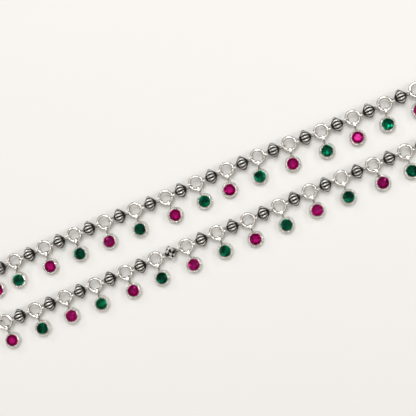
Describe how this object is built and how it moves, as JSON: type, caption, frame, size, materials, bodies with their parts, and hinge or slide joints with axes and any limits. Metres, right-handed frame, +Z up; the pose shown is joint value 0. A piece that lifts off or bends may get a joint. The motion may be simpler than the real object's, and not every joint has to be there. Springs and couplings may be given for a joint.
{
  "type": "payal anklet",
  "caption": "Silver chain anklet lying closed and flat: jump rings, ribbed oxidised beads and small round bezel drops with red and green stones.",
  "frame": {"origin": "middle of the outline, on the surface that the anklet lies on", "axes": "+X along the two long runs, +Y across them and away from the side that the drops point to, +Z up"},
  "size_m": [0.1416, 0.0228, 0.0039],
  "materials": {
    "oxidised_silver": "oxidised grooves, polished crests",
    "bright_silver": "bright polished",
    "ruby_glass": "faceted, gloss",
    "emerald_glass": "faceted, gloss"
  },
  "bodies": {
    "root": {"front_chain": "oxidised_silver", "back_chain": "oxidised_silver", "clasp_hook": "bright_silver", "ruby_drop_01": "ruby_glass", "emerald_drop_02": "emerald_glass", "ruby_drop_03": "ruby_glass", "emerald_drop_04": "emerald_glass", "ruby_drop_05": "ruby_glass", "emerald_drop_06": "emerald_glass", "ruby_drop_07": "ruby_glass", "emerald_drop_08": "emerald_glass", "ruby_drop_09": "ruby_glass", "emerald_drop_10": "emerald_glass", "ruby_drop_11": "ruby_glass", "emerald_drop_12": "emerald_glass", "ruby_drop_13": "ruby_glass", "emerald_drop_14": "emerald_glass", "ruby_drop_15": "ruby_glass", "emerald_drop_16": "emerald_glass", "ruby_drop_17": "ruby_glass", "emerald_drop_18": "emerald_glass", "ruby_drop_19": "ruby_glass", "emerald_drop_20": "emerald_glass", "ruby_drop_21": "ruby_glass", "emerald_drop_22": "emerald_glass", "ruby_drop_23": "ruby_glass", "emerald_drop_24": "emerald_glass", "ruby_drop_25": "ruby_glass", "emerald_drop_26": "emerald_glass", "ruby_drop_27": "ruby_glass", "emerald_drop_28": "emerald_glass", "ruby_drop_29": "ruby_glass", "emerald_drop_30": "emerald_glass", "ruby_drop_31": "ruby_glass", "emerald_drop_32": "emerald_glass"}
  },
  "joints": []
}
